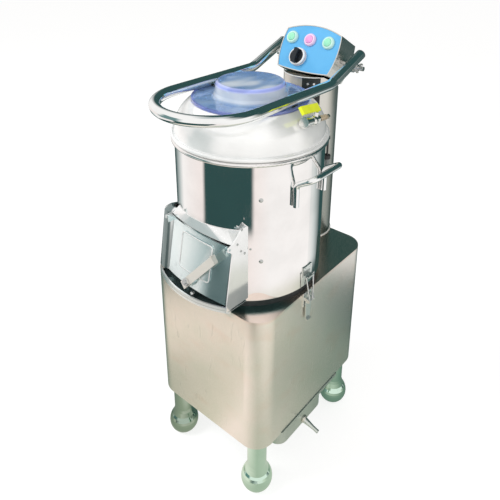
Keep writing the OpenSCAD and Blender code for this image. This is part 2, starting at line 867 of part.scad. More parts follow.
// The round knob with its raised grip bar.
module timer_knob() {
    color("Black") at_panel() translate([knob_x, knob_up, 0]) {
        translate([0, 0, 1.4]) cylinder(r = 17, h = 8);
        intersection() {
            translate([-5, -17, 9]) cube([10, 34, 10]);
            translate([0, 0, 9]) cylinder(r = 17, h = 10);
        }
        translate([0, 0, -12]) cylinder(r = 4.4, h = 14);
    }
}

// The white dial plate and the clockwork timer behind the panel.
module timer_body() {
    color("White") at_panel() translate([knob_x, knob_up, 0]) difference() {
        union() {
            translate([0, 0, -1]) cylinder(r = 21, h = 1.8);
            translate([0, 0, -34]) cylinder(r = 17, h = 30.4);
        }
        translate([0, 0, -14]) cylinder(r = 4.46, h = 30);
    }
}

// ---------------------------------------------------------------- water inlet

valve_x = 153;
valve_y = -24;
valve_z = 881;
valve_drop = 7;
barb_r = 4.2;
barb_tip_r = 4.6;
valve_tilt = 8;
inlet_y = -48;

// Places a piece at the valve: x along the pipe to the rear, z out of the stem.
module at_valve() {
    translate([valve_x, valve_y, valve_z]) rotate([-valve_drop, 0, 0]) rotate([0, valve_tilt, 0])
        rotate([0, 0, 90]) children();
}

// Places a piece on the short arm that leads down into the dome.
module at_inlet() {
    translate([valve_x, inlet_y, valve_z + 2.9]) rotate([0, -124.8, 0]) children();
}

module water_valve() {
    color("Silver") difference() {
        union() {
            at_valve() {
                translate([-33, 0, 0]) rotate([0, 90, 0]) cylinder(r = 8.5, h = 34);
                translate([-33, 0, 0]) rotate([0, 90, 0]) cylinder(r = 9.8, h = 5);
                translate([-4, 0, 0]) sphere(10.4);
                translate([1, 0, 0]) rotate([0, 90, 0]) cylinder(r = 9.6, h = 8, $fn = 6);
                cylinder(r = 6, h = 17);
            }
            at_inlet() {
                cylinder(r = 6.9, h = 24);
                translate([0, 0, 3]) cylinder(r = 10, h = 8.5);
            }
        }
        at_valve() translate([0, 0, 10]) cylinder(r = 3.06, h = 20);
        at_valve() translate([9.01, 0, 0]) rotate([0, -90, 0]) cylinder(r = 6.5, h = 8);
    }
}

// The lever: its grip is a flat plate that slopes outward over the stem.
module valve_lever() {
    color("Yellow") at_valve() union() {
        translate([0, 0, 26]) rotate([42, 0, 0]) {
            translate([-50, -8, -1.75]) cube([54, 16, 3.5]);
            translate([-50, -8, -5]) cube([3, 16, 5]);
        }
        translate([0, 0, 11]) cylinder(r = 3, h = 15);
        translate([0, 0, 18]) cylinder(r = 5, h = 5);
    }
}

// The barbed tail with a plain tip, screwed into the valve.
module hose_barb() {
    color("Goldenrod") at_valve() translate([1.3, 0, 0]) rotate([0, 90, 0]) difference() {
        union() {
            cylinder(r = 6.4, h = 8);
            translate([0, 0, 8]) cylinder(r = 7.5, h = 4, $fn = 6);
            translate([0, 0, 7]) cylinder(r = barb_r, h = 36);
            translate([0, 0, 42]) cylinder(r = barb_tip_r, h = 6);
            for (i = [0 : 4]) translate([0, 0, 14 + i * 5.6]) cylinder(r1 = 5.8, r2 = barb_r, h = 5.2);
        }
        translate([0, 0, -1]) cylinder(r = 2.8, h = 60);
    }
}

// ---------------------------------------------------------------- handles and latches

handle_a = 17;
rod_r = 6;

// Half of a bent rod: an upright foot, an arm rising outward and half the grip.
module half_handle() {
    r0 = drum_r + rod_r + 0.1;
    bend = 14;
    lean = 60;
    arm = 22.5;
    foot_y = r0 * sin(handle_a);
    translate([r0 * cos(handle_a), foot_y, 719]) {
        cylinder(r = rod_r, h = 38);
        translate([bend, 0, 38]) mirror([1, 0, 0]) rotate([90, 0, 0]) rotate_extrude(angle = lean)
            translate([bend, 0]) circle(rod_r);
        translate([bend * (1 - cos(lean)), 0, 38 + bend * sin(lean)]) rotate([0, lean, 0]) {
            cylinder(r = rod_r, h = arm);
            translate([0, -bend, arm]) rotate([90, 0, 90]) rotate_extrude(angle = 90)
                translate([bend, 0]) circle(rod_r);
            translate([0, -bend, arm + bend]) rotate([90, 0, 0]) cylinder(r = rod_r, h = foot_y - bend);
        }
    }
}

module side_handle() {
    half_handle();
    mirror([0, 1, 0]) half_handle();
}

module side_handles() {
    color("Silver") translate([0, drum_y, 0]) both_sides() side_handle();
}

latch_x = 166.5;
latch_z = 484;
bail_off = 4.5;
bail_r = 1.5;
bar_x = 165;
bar_z = 541;

// The shallow hook on the drum, which the bail's bar lies in: a riveted back plate,
// a ledge and a lip, butted with a hair's gap that the weld fills.
module keeper() {
    weld = 0.02;
    difference() {
        translate([0, drum_y, 0]) union() {
            translate([150, -15, bar_z - 3.6]) cube([9, 30, 23]);
            for (y = [-9, 9]) translate([157, y, bar_z + 14]) rotate([0, 90, 0]) cylinder(r = 2.4, h = 3.2);
        }
        drum_core();
    }
    translate([159 + weld, drum_y - 9.5, bar_z - 3.6]) cube([bar_x + 4.5 - 159 - weld, 19, 1.6]);
    translate([bar_x + 3, drum_y - 9.5, bar_z - 2 + weld]) cube([1.5, 19, 1.7 - weld]);
}

module latch_keepers() {
    color("Silver") both_sides() keeper();
}

// The base on the cabinet's side: a plate and the two ears that hold the lever.
module latch_base() {
    translate([cab_w / 2, drum_y, 0]) difference() {
        union() {
            translate([0, -14, 463]) cube([1.5, 28, 34]);
            for (y = [-12.5, 10.5]) {
                translate([1, y, latch_z - 4]) cube([latch_x - cab_w / 2 - 1, 2, 8]);
                translate([latch_x - cab_w / 2, y, latch_z]) rotate([-90, 0, 0]) cylinder(r = 4, h = 2);
            }
        }
        translate([latch_x - cab_w / 2, -20, latch_z]) rotate([-90, 0, 0]) cylinder(r = 2.05, h = 40);
    }
}

module latch_bases() {
    color("Silver") both_sides() latch_base();
}

// The toggle lever: two cheeks on a pin, a tapering handle and a curled tip.
module latch_lever() {
    translate([latch_x, drum_y, latch_z]) difference() {
        union() {
            rotate([90, 0, 0]) cylinder(r = 2, h = 25, center = true);
            for (y = [-8.2, 9.7]) translate([0, y, 0]) rotate([90, 0, 0]) linear_extrude(1.5)
                polygon([[-3, 3], [3, 3], [7.5, -3], [7.5, -7], [3, -10], [-2, -10], [-3, -8]]);
            translate([-3, 0, -9]) rotate([90, 0, 90]) linear_extrude(1.5)
                polygon([[-10, 0], [10, 0], [9, -30], [7, -47], [-7, -47], [-9, -30]]);
            translate([-3, -7, -56]) cube([6, 14, 1.5]);
        }
        translate([bail_off, 0, -bail_off]) rotate([90, 0, 0]) cylinder(r = bail_r + 0.05, h = 40, center = true);
    }
}

module latch_lever_right() {
    color("Gainsboro") latch_lever();
}

module latch_lever_left() {
    color("Gainsboro") mirror([1, 0, 0]) latch_lever();
}

// The wire bail: a pin in the lever, two spreading legs and the bar over the hook.
module latch_bail() {
    foot = [latch_x + bail_off, latch_z - bail_off];
    rise = bar_z - foot[1];
    pull = atan((foot[0] - bar_x) / rise);
    spread = atan((13.4 - 5) / rise);
    leg = rise / cos(pull) / cos(spread);
    translate([foot[0], drum_y, foot[1]]) {
        rotate([90, 0, 0]) cylinder(r = bail_r, h = 19.4, center = true);
        for (s = [-1, 1]) translate([0, s * 5, 0]) rotate([-s * spread, 0, 0]) rotate([0, -pull, 0])
            cylinder(r = bail_r, h = leg);
    }
    translate([bar_x, drum_y, bar_z]) rotate([90, 0, 0]) cylinder(r = bail_r, h = 30, center = true);
}

module latch_bail_right() {
    color("Gainsboro") latch_bail();
}

module latch_bail_left() {
    color("Gainsboro") mirror([1, 0, 0]) latch_bail();
}

module interlock() {
    color("DimGray") translate([0, drum_y, 0]) rotate([0, 0, 46]) difference() {
        union() {
            translate([drum_r - 4, -9, 700]) cube([8, 18, 50]);
            translate([drum_r + 9, 0, 712]) cylinder(r = 6, h = 40);
            translate([drum_r + 9, 0, 752]) cylinder(r = 7.5, h = 8);
            translate([drum_r + 2, -4, 715]) cube([6, 8, 20]);
            // the strap up to the rim
            translate([rim_r + 1, -5, 740]) cube([2, 10, 68]);
            translate([rim_r + 2, 0, 800]) rotate([0, 90, 0]) cylinder(r = 4, h = 4);
        }
        translate([0, 0, 600]) cylinder(r = drum_r + 0.05, h = 400, $fn = 360);
    }
}

cabinet_shell();
base_plate();
rear_panel();
cover_screws();
feet();
foot_pads();
drain_pan();
drum();
drum_gasket();
abrasive_liner();
abrasive_disc();
disc_nut();
drive_shaft();
bearing_housing();
shaft_bearings();
shaft_seal();
driven_pulley();
drive_belt();
motor_pulley();
motor();
motor_bracket();
cable_gland();
dome_cover();
mouth_seal();
clear_lid();
lift_loop();
loop_end_caps();
lid_brackets();
pivot_studs();
wing_nut_right();
wing_nut_left();
column();
column_cover();
head_shell();
head_rear_cover();
front_panel();
button_bezels();
button_start();
button_stop();
button_drain();
timer_knob();
timer_body();
outlet_frame();
outlet_tray();
outlet_door();
door_gasket();
door_lever();
lever_bolt();
latch_stud();
water_valve();
valve_lever();
hose_barb();
side_handles();
latch_keepers();
latch_bases();
latch_lever_right();
latch_lever_left();
latch_bail_right();
latch_bail_left();
interlock();
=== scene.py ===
import math
import bmesh
import bpy
from mathutils import Matrix, Vector


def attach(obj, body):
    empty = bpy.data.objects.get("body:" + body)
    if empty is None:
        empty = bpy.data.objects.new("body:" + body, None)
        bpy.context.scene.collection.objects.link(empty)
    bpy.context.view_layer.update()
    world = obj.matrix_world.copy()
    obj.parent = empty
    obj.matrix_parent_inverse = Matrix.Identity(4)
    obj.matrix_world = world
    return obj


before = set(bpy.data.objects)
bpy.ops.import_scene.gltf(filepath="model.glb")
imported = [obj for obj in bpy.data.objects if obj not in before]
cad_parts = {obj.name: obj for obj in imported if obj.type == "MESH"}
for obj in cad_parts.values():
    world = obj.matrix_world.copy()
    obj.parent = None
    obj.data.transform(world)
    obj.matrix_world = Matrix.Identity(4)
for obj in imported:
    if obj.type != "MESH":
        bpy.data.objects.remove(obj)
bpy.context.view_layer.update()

# ---------------------------------------------------------------- camera
# The machine is seen from its front and its +X side, a little above the lid. The
# camera is set from its place, its turn, its downward tilt and a slight roll.
eye = (0.68647, -0.83088, 1.23773)
turn, tilt, roll = (math.radians(a) for a in (38.70, 21.325, 0.881))
ahead = Vector((-math.sin(turn) * math.cos(tilt), math.cos(turn) * math.cos(tilt),
                -math.sin(tilt)))
level = Vector((math.cos(turn), math.sin(turn), 0))
upright = level.cross(ahead)
side = level * math.cos(roll) + upright * math.sin(roll)
top = upright * math.cos(roll) - level * math.sin(roll)
lens = bpy.data.cameras.new("camera")
lens.sensor_width, lens.lens = 36, 39.243
lens.shift_x, lens.shift_y = -0.03466, -0.24252
lens.clip_end = 60
camera = bpy.data.objects.new("camera", lens)
bpy.context.scene.collection.objects.link(camera)
camera.matrix_world = Matrix((
    (side.x, top.x, -ahead.x, eye[0]), (side.y, top.y, -ahead.y, eye[1]),
    (side.z, top.z, -ahead.z, eye[2]), (0, 0, 0, 1)))
bpy.context.scene.camera = camera
bpy.context.scene.view_settings.view_transform = "Standard"


# ---------------------------------------------------------------- studio
# A pale floor, a pale room and two soft lamps. Polished steel shows whatever
# stands round it, so the room has dark screens at some bearings, which only
# reflections see.
class Wire:
    """One socket of a finish, so that its maths can be written as sums."""

    def __init__(self, finish, socket):
        self.finish, self.socket = finish, socket

    def sum(self, operation, other, turned=False):
        """One sum of this socket and another or a number, the other first if turned."""
        first, second = (other, self) if turned else (self, other)
        return self.finish.node("Math", {"operation": operation}, {0: first, 1: second})

    def __add__(self, other):
        return self.sum("ADD", other)

    def __sub__(self, other):
        return self.sum("SUBTRACT", other)

    def __mul__(self, other):
        return self.sum("MULTIPLY", other)

    def __truediv__(self, other):
        return self.sum("DIVIDE", other)

    def __rsub__(self, other):
        return self.sum("SUBTRACT", other, True)

    def __rtruediv__(self, other):
        return self.sum("DIVIDE", other, True)

    __radd__, __rmul__ = __add__, __mul__

    def to(self, low, high, first=0.0, last=1.0):
        """The value's run from low to high, eased, as a run from first to last."""
        return self.finish.node(
            "MapRange", {"interpolation_type": "SMOOTHSTEP"},
            {0: self, 1: low, 2: high, 3: first, 4: last})

    def other(self, name):
        """Another output of the same node."""
        return Wire(self.finish, self.socket.node.outputs[name])


class Finish:
    """A surface finish, built node by node."""

    def __init__(self, name, owner=None):
        self.owner = owner or bpy.data.materials.new(name)
        self.owner.use_nodes = True
        self.tree = self.owner.node_tree
        self.tree.nodes.clear()

    def node(self, kind, settings=(), inputs=(), take=0):
        """Adds a node with its settings and inputs, and gives one of its outputs."""
        made = self.tree.nodes.new("ShaderNode" + kind)
        for key, value in dict(settings).items():
            if key == "stops":
                stops = made.color_ramp.elements
                stops[0].position, stops[-1].position = value[0][0], value[-1][0]
                for place, colour in value[1:-1]:
                    stops.new(place)
                for stop, (place, colour) in zip(stops, value):
                    stop.color = (*colour, 1)
            else:
                setattr(made, key, value)
        for key, value in dict(inputs).items():
            socket = made.inputs[key]
            if isinstance(value, Wire):
                self.tree.links.new(value.socket, socket)
            elif isinstance(value, tuple) and socket.type == "RGBA":
                socket.default_value = (*value, 1)
            else:
                socket.default_value = value
        return Wire(self, made.outputs[take]) if made.outputs else None

    def place(self):
        """Where a point lies on the machine at rest, in metres."""
        return self.node("TexCoord").other("Object")

    def along(self, where):
        """The three parts of a place."""
        split = self.node("SeparateXYZ", (), {0: where})
        return split, split.other("Y"), split.other("Z")

    def grain(self, size, detail, stretch=(1, 1, 1)):
        """Soft random patches of about the given size in metres, drawn out by stretch."""
        scaled = self.node("VectorMath", {"operation": "MULTIPLY"},
                           {0: self.place(), 1: tuple(1 / s for s in stretch)})
        return self.node("TexNoise", (), {"Vector": scaled, "Scale": 1 / size,
                                          "Detail": detail})

    def mix(self, share, one, two):
        """Colour one where share is 0 and colour two where it is 1."""
        return self.node("Mix", {"data_type": "RGBA"}, {0: share, 6: one, 7: two}, 2)

    def relief(self, height, depth, strength=1.0, under=None):
        """A bump of the given depth in metres."""
        inputs = {"Height": height, "Distance": depth, "Strength": strength}
        if under:
            inputs["Normal"] = under
        return self.node("Bump", (), inputs)

    def close(self, shader, kind="Material"):
        """Joins the shader to the output and gives the finished material or world."""
        self.node("Output" + kind, (), {"Surface": shader})
        return self.owner


def bearing_of(finish, where, centre_y):
    """The bearing round an upright axis, from 0 to 1, where 0.5 is the +X side."""
    across, back = finish.along(where)[:2]
    return finish.node("Math", {"operation": "ARCTAN2"}, {0: back - centre_y, 1: across}) / (
        2 * math.pi) + 0.5


def stops_by_bearing(*stops):
    """Ramp stops from bearings in degrees, where -90 is the front."""
    return [((degrees + 180) / 360, colour) for degrees, colour in stops]


axis_y = -0.030  # the drum's axis

# The colours that the screens and the floor show in reflections.
paper = (0.98, 0.965, 0.95)
blush = (0.94, 0.87, 0.84)
mist = (0.62, 0.67, 0.66)
dusk = (0.50, 0.56, 0.55)
teal = (0.16, 0.27, 0.27)
moss = (0.10, 0.17, 0.15)
slate = (0.032, 0.080, 0.078)

# The floor has four zones round the machine, which fade into each other at these
# distances in metres.
underfoot_edge, close_edge, inner_edge, outer_edge = (
    (0.40, 0.62), (0.78, 0.90), (1.18, 1.30), (2.1, 2.5))
underfoot_share = 0.75

floor_finish = Finish("studio_floor")
spot = floor_finish.place()
reach = floor_finish.node("VectorMath", {"operation": "LENGTH"}, {0: spot}, "Value")
bearing = bearing_of(floor_finish, spot, axis_y)


def floor_ring(*stops):
    """The floor's colours round the machine."""
    return floor_finish.node("ValToRGB", {"stops": stops_by_bearing(*stops)}, {0: bearing})


close_by = floor_ring(
    (-180, moss), (-167, (0.11, 0.20, 0.17)), (-152, (0.60, 0.60, 0.52)),
    (-140, (0.88, 0.81, 0.71)), (-95, (0.96, 0.89, 0.81)), (-48, (0.60, 0.62, 0.53)),
    (-20, (0.78, 0.77, 0.68)), (12, (0.76, 0.75, 0.66)), (30, (0.64, 0.65, 0.56)),
    (46, (0.25, 0.33, 0.29)), (57, (0.085, 0.14, 0.13)), (66, (0.045, 0.085, 0.082)),
    (120, moss), (180, moss))
underfoot = floor_ring(
    (-180, moss), (-150, (0.17, 0.24, 0.19)), (-124, (0.42, 0.46, 0.37)),
    (-107, (0.58, 0.60, 0.48)), (-94, (0.99, 0.90, 0.84)), (-75, (0.84, 0.78, 0.71)),
    (-45, (0.50, 0.53, 0.45)), (-10, (0.52, 0.55, 0.48)),
    (36, (0.22, 0.29, 0.24)), (180, moss))
inner = floor_ring(
    (-180, slate), (-60, slate), (-52, blush), (-20, paper), (48, paper), (64, mist),
    (84, slate), (180, slate))
outer = floor_ring(
    (-180, dusk), (-166, paper), (-122, blush), (-117, slate), (-48, slate), (-43, blush),
    (-20, paper), (44, paper), (62, mist), (84, slate), (160, slate), (180, dusk))
distant = floor_ring(
    (-180, blush), (-158, blush), (-143, teal), (-112, teal), (-98, paper), (18, paper),
    (38, (0.50, 0.51, 0.46)), (54, (0.08, 0.12, 0.12)), (112, slate), (146, slate),
    (160, paper), (180, blush))
shown = floor_finish.mix(reach.to(*underfoot_edge, underfoot_share, 0), close_by, underfoot)
shown = floor_finish.mix(reach.to(*close_edge), shown, inner)
shown = floor_finish.mix(reach.to(*inner_edge), shown, outer)
shown = floor_finish.mix(reach.to(*outer_edge), shown, distant)


def by_ray(finish, plain, seen, mirrored, through):
    """One look for the camera, one in mirrors, one through glass and one for all else."""
    ray = finish.node("LightPath")
    look = finish.node("MixShader", (), {0: ray, 1: plain, 2: seen})
    look = finish.node("MixShader", (), {0: ray.other("Is Glossy Ray"), 1: look, 2: mirrored})
    return finish.node("MixShader", (), {
        0: ray.other("Is Transmission Ray"), 1: look, 2: through})


floor_look = by_ray(
    floor_finish,
    floor_finish.node("BsdfDiffuse", (), {"Color": (0.8, 0.79, 0.77)}),
    floor_finish.node("AddShader", (), {
        0: floor_finish.node("BsdfDiffuse", (), {"Color": (0.40, 0.40, 0.40)}),
        1: floor_finish.node("Emission", (), {"Color": (0.74, 0.74, 0.74)})}),
    floor_finish.node("Emission", (), {"Color": shown}),
    floor_finish.node("Emission", (), {"Color": (0.95, 0.95, 0.95)}))
floor_half_width = 30
floor_sheet = bmesh.new()
bmesh.ops.create_grid(floor_sheet, x_segments=8, y_segments=8, size=floor_half_width)
floor_mesh = bpy.data.meshes.new("floor")
floor_sheet.to_mesh(floor_mesh)
floor = bpy.data.objects.new("floor", floor_mesh)
floor_mesh.materials.append(floor_finish.close(floor_look))
floor_mesh.materials[0].cycles.emission_sampling = "NONE"
bpy.context.scene.collection.objects.link(floor)

room = bpy.data.worlds.new("room")
bpy.context.scene.world = room
room.cycles.sampling_method = "NONE"
room_finish = Finish("room", room)
gaze = room_finish.node("TexCoord")
gaze_bearing = bearing_of(room_finish, gaze, 0.0)
height = room_finish.along(gaze)[2]


def room_ring(*stops):
    """The room's colours round the machine."""
    return room_finish.node("ValToRGB", {"stops": stops_by_bearing(*stops)}, {0: gaze_bearing})


def backdrop(colour, strength):
    """Light from the room in one colour."""
    return room_finish.node("Background", (), {"Color": colour, "Strength": strength})


walls = room_ring(
    (-180, paper), (-150, paper), (-138, teal), (-112, teal), (-98, paper), (26, paper),
    (44, slate), (140, slate), (158, paper), (180, paper))
ceiling = room_ring(
    (-180, paper), (-20, paper), (20, slate), (136, slate), (160, paper), (180, paper))
zenith = (0.55, 0.60, 0.60)
sky = room_finish.mix(height.to(0.34, 0.44), walls, ceiling)
sky = room_finish.mix(height.to(0.93, 0.985), sky, zenith)
white = backdrop((1, 1, 1), 1.0)
room_finish.close(by_ray(room_finish, backdrop((1.0, 0.99, 0.97), 0.6), white,
                         backdrop(sky, 1.0), white), "World")


def soft_lamp(name, place, aim, size, power, colour=(1, 1, 1)):
    """A round lamp that lights the machine but isn't mirrored in it."""
    light = bpy.data.lights.new(name, "AREA")
    light.shape, light.size, light.energy, light.color = "DISK", size, power, colour
    lamp = bpy.data.objects.new(name, light)
    bpy.context.scene.collection.objects.link(lamp)
    lamp.location = place
    lamp.visible_glossy = False
    lamp.rotation_euler = (Vector(aim) - Vector(place)).to_track_quat("-Z", "Y").to_euler()


soft_lamp("lamp_left", (-1.6, -2.0, 2.9), (0, 0, 0.5), 1.6, 60)
soft_lamp("lamp_right", (2.4, -1.2, 2.2), (0, 0, 0.6), 1.5, 26, (1.0, 0.97, 0.94))


# ---------------------------------------------------------------- cabinet
# The motor stands in a box folded from brushed stainless sheet, with rolled
# corners and an open bottom that a plate closes. Its back has a panel with air
# slots, held by screws.
def dress(finish, *nodes):
    """Gives CAD nodes their finish."""
    for name in nodes:
        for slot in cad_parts[name].material_slots:
            slot.material = finish


# A brush says how far its fine lines are drawn out along X, Y and Z: level on every
# side, upright on every side, or upright on the plates that close a back.
level_brush, upright_brush, back_brush = (1, 1, 0.02), (0.02, 0.02, 1), (0.02, 1, 1)


def brushed_sheet(name, tone, shade, rough, brush, where=None, patch=None, metal=1.0):
    """Stainless sheet with fine brushing and faint handling marks, and patches where asked."""
    made = Finish(name)
    lines = made.grain(0.0011, 2.0, brush)
    cloud = made.grain(0.09, 3.0)
    tint = made.mix(cloud.to(0.35, 0.7), tone, shade)
    if where:
        tint = made.mix(where(made), tint, patch(made) if callable(patch) else patch)
    tint = made.mix(lines.to(0.3, 0.7, 0, 0.35), tint, tuple(c * 0.82 for c in tone))
    marks = made.grain(0.012, 5.0, (1, 1, 3)).to(0.62, 0.74, 0, 0.5)
    tint = made.mix(marks * 0.35, tint, tuple(c * 0.7 for c in shade))
    dull = lines.to(0.25, 0.75, rough - 0.05, rough + 0.08) + marks * 0.1
    bump = made.relief(lines, 0.00004, 0.4)
    return made.close(made.node("BsdfPrincipled", (), {
        "Base Color": tint, "Metallic": metal, "Roughness": dull, "Normal": bump}))


deck_high = 0.497  # the cabinet's top


def smears_and_painted_deck_reflection(made):
    """Where the deck's painted reflection lies, all over the deck, and faint smears where hands
    and water have been: 0 to 1.
    """
    deck = made.along(made.place())[2].to(deck_high - 0.009, deck_high - 0.001)
    smears = made.grain(0.06, 4.0, (1.6, 1, 0.7)).to(0.5, 0.72, 0, 0.6)
    return smears * (1.0 - deck) + deck


def from_drum_axis(made, across, behind):
    """A point's distance from the drum's axis."""
    return made.node("Math", {"operation": "SQRT"}, {0: across * across + behind * behind})


def painted_deck_reflection_tone(made):
    """The deck's painted reflection: warm, and dark green where it shows the drum, in front of
    the drum's foot. The smears take the warm colour.
    """
    across, back, above = made.along(made.place())
    behind = back - axis_y
    beside_foot = from_drum_axis(made, across, behind).to(0.168, 0.184, 1, 0)
    in_front = behind.to(-0.08, -0.03, 1, 0)
    # The dark green band is a painted reflection of the drum in the deck.
    drum_reflection = beside_foot * above.to(deck_high - 0.017, deck_high - 0.007) * in_front
    return made.mix(drum_reflection, (0.93, 0.79, 0.70), (0.14, 0.42, 0.41))


# The cabinet's deck is painted with a warm reflection that turns dark green in front of the
# drum.
cabinet_steel = brushed_sheet("cabinet_sheet", (0.97, 0.90, 0.84), (0.90, 0.87, 0.79),
                              0.25, level_brush, smears_and_painted_deck_reflection, painted_deck_reflection_tone)
dress(cabinet_steel, "cabinet_shell")
plain_steel = brushed_sheet("plain_sheet", (0.74, 0.75, 0.72), (0.66, 0.68, 0.65), 0.3,
                            back_brush)
dress(plain_steel, "rear_panel")
edge_steel = brushed_sheet("edge_sheet", (0.62, 0.66, 0.64), (0.5, 0.55, 0.53), 0.2,
                           upright_brush)
dress(edge_steel, "base_plate")


def bright_steel(name, tone, rough, wave=0.0, where=None, patch=None, metal=1.0):
    """Polished steel: fine polishing haze, faint waves, and patches where asked."""
    made = Finish(name)
    haze = made.grain(0.05, 4.0)
    fine = made.grain(0.0007, 2.0, (1, 1, 0.15))
    tint = made.mix(haze.to(0.3, 0.75), tone, tuple(c * 0.93 for c in tone))
    if where:
        tint = made.mix(where(made), tint, patch)
    tint = made.mix(fine.to(0.5, 0.8, 0, 0.2), tint, tuple(c * 0.8 for c in tone))
    dull = haze.to(0.3, 0.8, rough, rough + 0.06) + fine.to(0.55, 0.8, 0, 0.05)
    bump = made.relief(fine, 0.00001, 0.25)
    if wave:
        bump = made.relief(made.grain(0.045, 1.0, (1, 1, 2.5)), wave, 1.0, bump)
    return made.close(made.node("BsdfPrincipled", (), {
        "Base Color": tint, "Metallic": metal, "Roughness": dull, "Normal": bump}))


screw_steel = bright_steel("screw_steel", (0.72, 0.73, 0.73), 0.22)
dress(screw_steel, "cover_screws")


# ---------------------------------------------------------------- feet
# Four turned and polished feet carry the cabinet: a neck that swells into a
# ball, on a rubber pad that keeps the machine from walking.
def shaded_feet(made):
    """The feet on the -X side stand in the machine's shade: 0 to 1."""
    return made.along(made.place())[0].to(-0.09, -0.06, 1, 0)


foot_steel = bright_steel("foot_steel", (0.68, 0.88, 0.75), 0.08, where=shaded_feet,
                          patch=(0.36, 0.46, 0.38))
dress(foot_steel, "feet")


def rubber(name, tone):
    """Moulded rubber with a dusty bloom and a fine grain."""
    made = Finish(name)
    bloom = made.grain(0.02, 5.0)
    pores = made.grain(0.0012, 2.0)
    tint = made.mix(bloom.to(0.4, 0.75), tone, tuple(c * 1.7 + 0.01 for c in tone))
    return made.close(made.node("BsdfPrincipled", (), {
        "Base Color": tint, "Roughness": bloom.to(0.3, 0.8, 0.5, 0.75),
        "Normal": made.relief(pores, 0.0002, 0.5)}))


black_rubber = rubber("black_rubber", (0.022, 0.024, 0.024))
dress(black_rubber, "foot_pads")


# ---------------------------------------------------------------- drain pan
# Water and peel leave through a shallow pan under the cabinet, pressed from
# sheet, with a turned spout brazed to its +X side.
pan_steel = brushed_sheet("pan_sheet", (0.74, 0.78, 0.73), (0.64, 0.68, 0.64), 0.36,
                          upright_brush)
dress(pan_steel, "drain_pan")


def piece(name, shape, finish, body):
    """Makes an object of a shape and ties it to its body."""
    bmesh.ops.recalc_face_normals(shape, faces=shape.faces)
    mesh = bpy.data.meshes.new(name)
    shape.to_mesh(mesh)
    shape.free()
    mesh.shade_smooth()
    mesh.set_sharp_from_angle(angle=math.radians(38))
    mesh.materials.append(finish)
    made = bpy.data.objects.new(name, mesh)
    bpy.context.scene.collection.objects.link(made)
    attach(made, body)


def turned(shape, profile, place, steps=32, closed=False):
    """Adds a body turned about the place's Z axis from radius and height points."""
    rings = []
    for radius, high in profile:
        angles = [2 * math.pi * k / steps for k in range(steps)] if radius else [0]
        rings.append([shape.verts.new(place @ Vector((
            radius * math.cos(a), radius * math.sin(a), high))) for a in angles])
    for one, two in zip(rings, rings[1:] + rings[:1] if closed else rings[1:]):
        for k in range(steps):
            corners = (one[k % len(one)], one[(k + 1) % len(one)],
                       two[(k + 1) % len(two)], two[k % len(two)])
            shape.faces.new(dict.fromkeys(corners))


def facing(point, direction):
    """A place at a point whose Z axis looks along a direction."""
    turn_to = Vector(direction).to_track_quat("Z", "Y").to_matrix().to_4x4()
    return Matrix.Translation(point) @ turn_to


# The spout is brazed into the pan's wall, which leaves a small fillet round it.
spout_root, spout_heading = (0.156, -0.014, 0.113), (0.9659, 0, -0.2588)
braze_profile = [(0.0072, 0.0005), (0.0102, 0.0022), (0.0090, 0.0042), (0.0074, 0.0064)]
braze = bmesh.new()
turned(braze, braze_profile, facing(spout_root, spout_heading), closed=True)
brazed = bright_steel("brazed_steel", (0.70, 0.68, 0.60), 0.3)
piece("spout_braze", braze, brazed, "frame")


# ---------------------------------------------------------------- drive
# Inside the cabinet a painted motor turns the disc's shaft by a belt and two
# cast pulleys. The shaft runs in a flanged housing bolted under the deck.
def painted(name, tone, rough, metal=0.0, cast=0.0):
    """Paint, or casting skin where cast is set, with a slight orange peel and dark patches."""
    made = Finish(name)
    patches = made.grain(0.03, 4.0)
    skin = made.grain(0.0025, 3.0)
    tint = made.mix(patches.to(0.35, 0.7), tone, tuple(c * 0.78 for c in tone))
    return made.close(made.node("BsdfPrincipled", (), {
        "Base Color": tint, "Metallic": metal,
        "Roughness": patches.to(0.3, 0.8, rough, rough + 0.15),
        "Normal": made.relief(skin, 0.0002 + cast, 0.5)}))


dress(screw_steel, "drive_shaft", "shaft_bearings", "disc_nut")
dress(black_rubber, "drive_belt", "shaft_seal")
dress(painted("cast_grey", (0.25, 0.26, 0.27), 0.5, 0.6, 0.0004),
      "bearing_housing", "driven_pulley", "motor_pulley")
dress(painted("motor_paint", (0.17, 0.24, 0.32), 0.4), "motor")
dress(painted("bracket_paint", (0.08, 0.085, 0.09), 0.5), "motor_bracket")


def moulded(name, tone, rough, coat=0.0, glow=0.0, where=None, patch=None):
    """Moulded plastic with slight flow marks and fine grain, and patches where asked."""
    made = Finish(name)
    flow = made.grain(0.02, 3.0, (1, 1, 2))
    fine = made.grain(0.0009, 2.0)
    if where:
        tone = made.mix(where(made), tone, patch)
    tint = made.mix(flow.to(0.35, 0.7, 0, 0.1), tone, (0, 0, 0))
    return made.close(made.node("BsdfPrincipled", (), {
        "Base Color": tint, "Roughness": flow.to(0.3, 0.8, rough - 0.04, rough + 0.08),
        "Coat Weight": coat, "Subsurface Weight": glow, "Subsurface Radius": (0.01, 0.01, 0.01),
        "Subsurface Scale": 0.3, "Normal": made.relief(fine, 0.0001, 0.3)}))


black_plastic = moulded("black_plastic", (0.018, 0.02, 0.022), 0.38)
dress(black_plastic, "cable_gland")


# ---------------------------------------------------------------- drum
# The peeling drum is rolled from stainless sheet, polished, and beaded over at
# its rim. Grit is bonded to a liner inside it and to the disc on its floor.
drum_steel = bright_steel("drum_steel", (0.95, 0.93, 0.92), 0.035, 0.00012)
dress(drum_steel, "drum")
dress(black_rubber, "drum_gasket")

